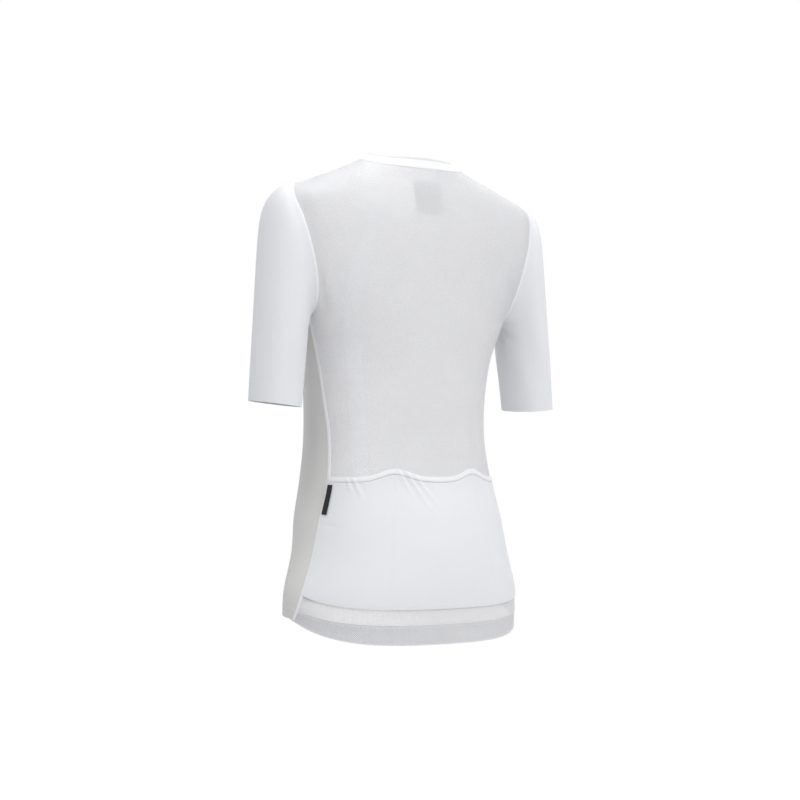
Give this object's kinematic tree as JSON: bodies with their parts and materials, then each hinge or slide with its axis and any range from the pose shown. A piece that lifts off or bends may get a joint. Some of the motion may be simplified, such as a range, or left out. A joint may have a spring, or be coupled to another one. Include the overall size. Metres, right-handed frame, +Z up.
{
  "type": "cycling jersey",
  "caption": "Women's short-sleeved race-fit cycling jersey as worn, hollow: mesh back, smooth fronts and sleeves, low collar, front zip and a rear pocket panel.",
  "frame": {"origin": "on the plane of symmetry, level with the neck points of the shoulders, where the wearer holds the jersey up", "axes": "+Z up, the front faces -Y, the wearer's left is +X"},
  "size_m": [0.4448, 0.2214, 0.6029],
  "materials": {
    "back_mesh": "open white mesh knit",
    "smooth_knit": "fine smooth white knit, matt",
    "collar_knit": "fine white knit, two tones",
    "pocket_knit": "smooth white knit, slightly brighter",
    "elastic": "white woven elastic",
    "label_cloth": "pale blue-grey woven label, plain",
    "tab_cloth": "black woven tab, plain",
    "zip_cloth": "white tape with white coil",
    "zip_metal": "satin metal"
  },
  "bodies": {
    "garment": {"back_panel": "back_mesh", "front_left": "smooth_knit", "front_right": "smooth_knit", "sleeve_left": "smooth_knit", "sleeve_right": "smooth_knit", "collar": "collar_knit", "pocket_panel": "pocket_knit", "pocket_binding": "pocket_knit", "hem_gripper": "elastic", "neck_label": "label_cloth", "side_tab": "tab_cloth", "zip_tape": "zip_cloth", "zip_slider": "zip_metal"},
    "pull": {"zip_pull": "zip_metal"}
  },
  "joints": [
    {"name": "zip_pull_hinge", "type": "hinge", "parent": "garment", "child": "pull", "pos_m": [0, -0.04847, -0.04653], "axis": [-1, 0, 0], "range_deg": [0, 100]}
  ]
}
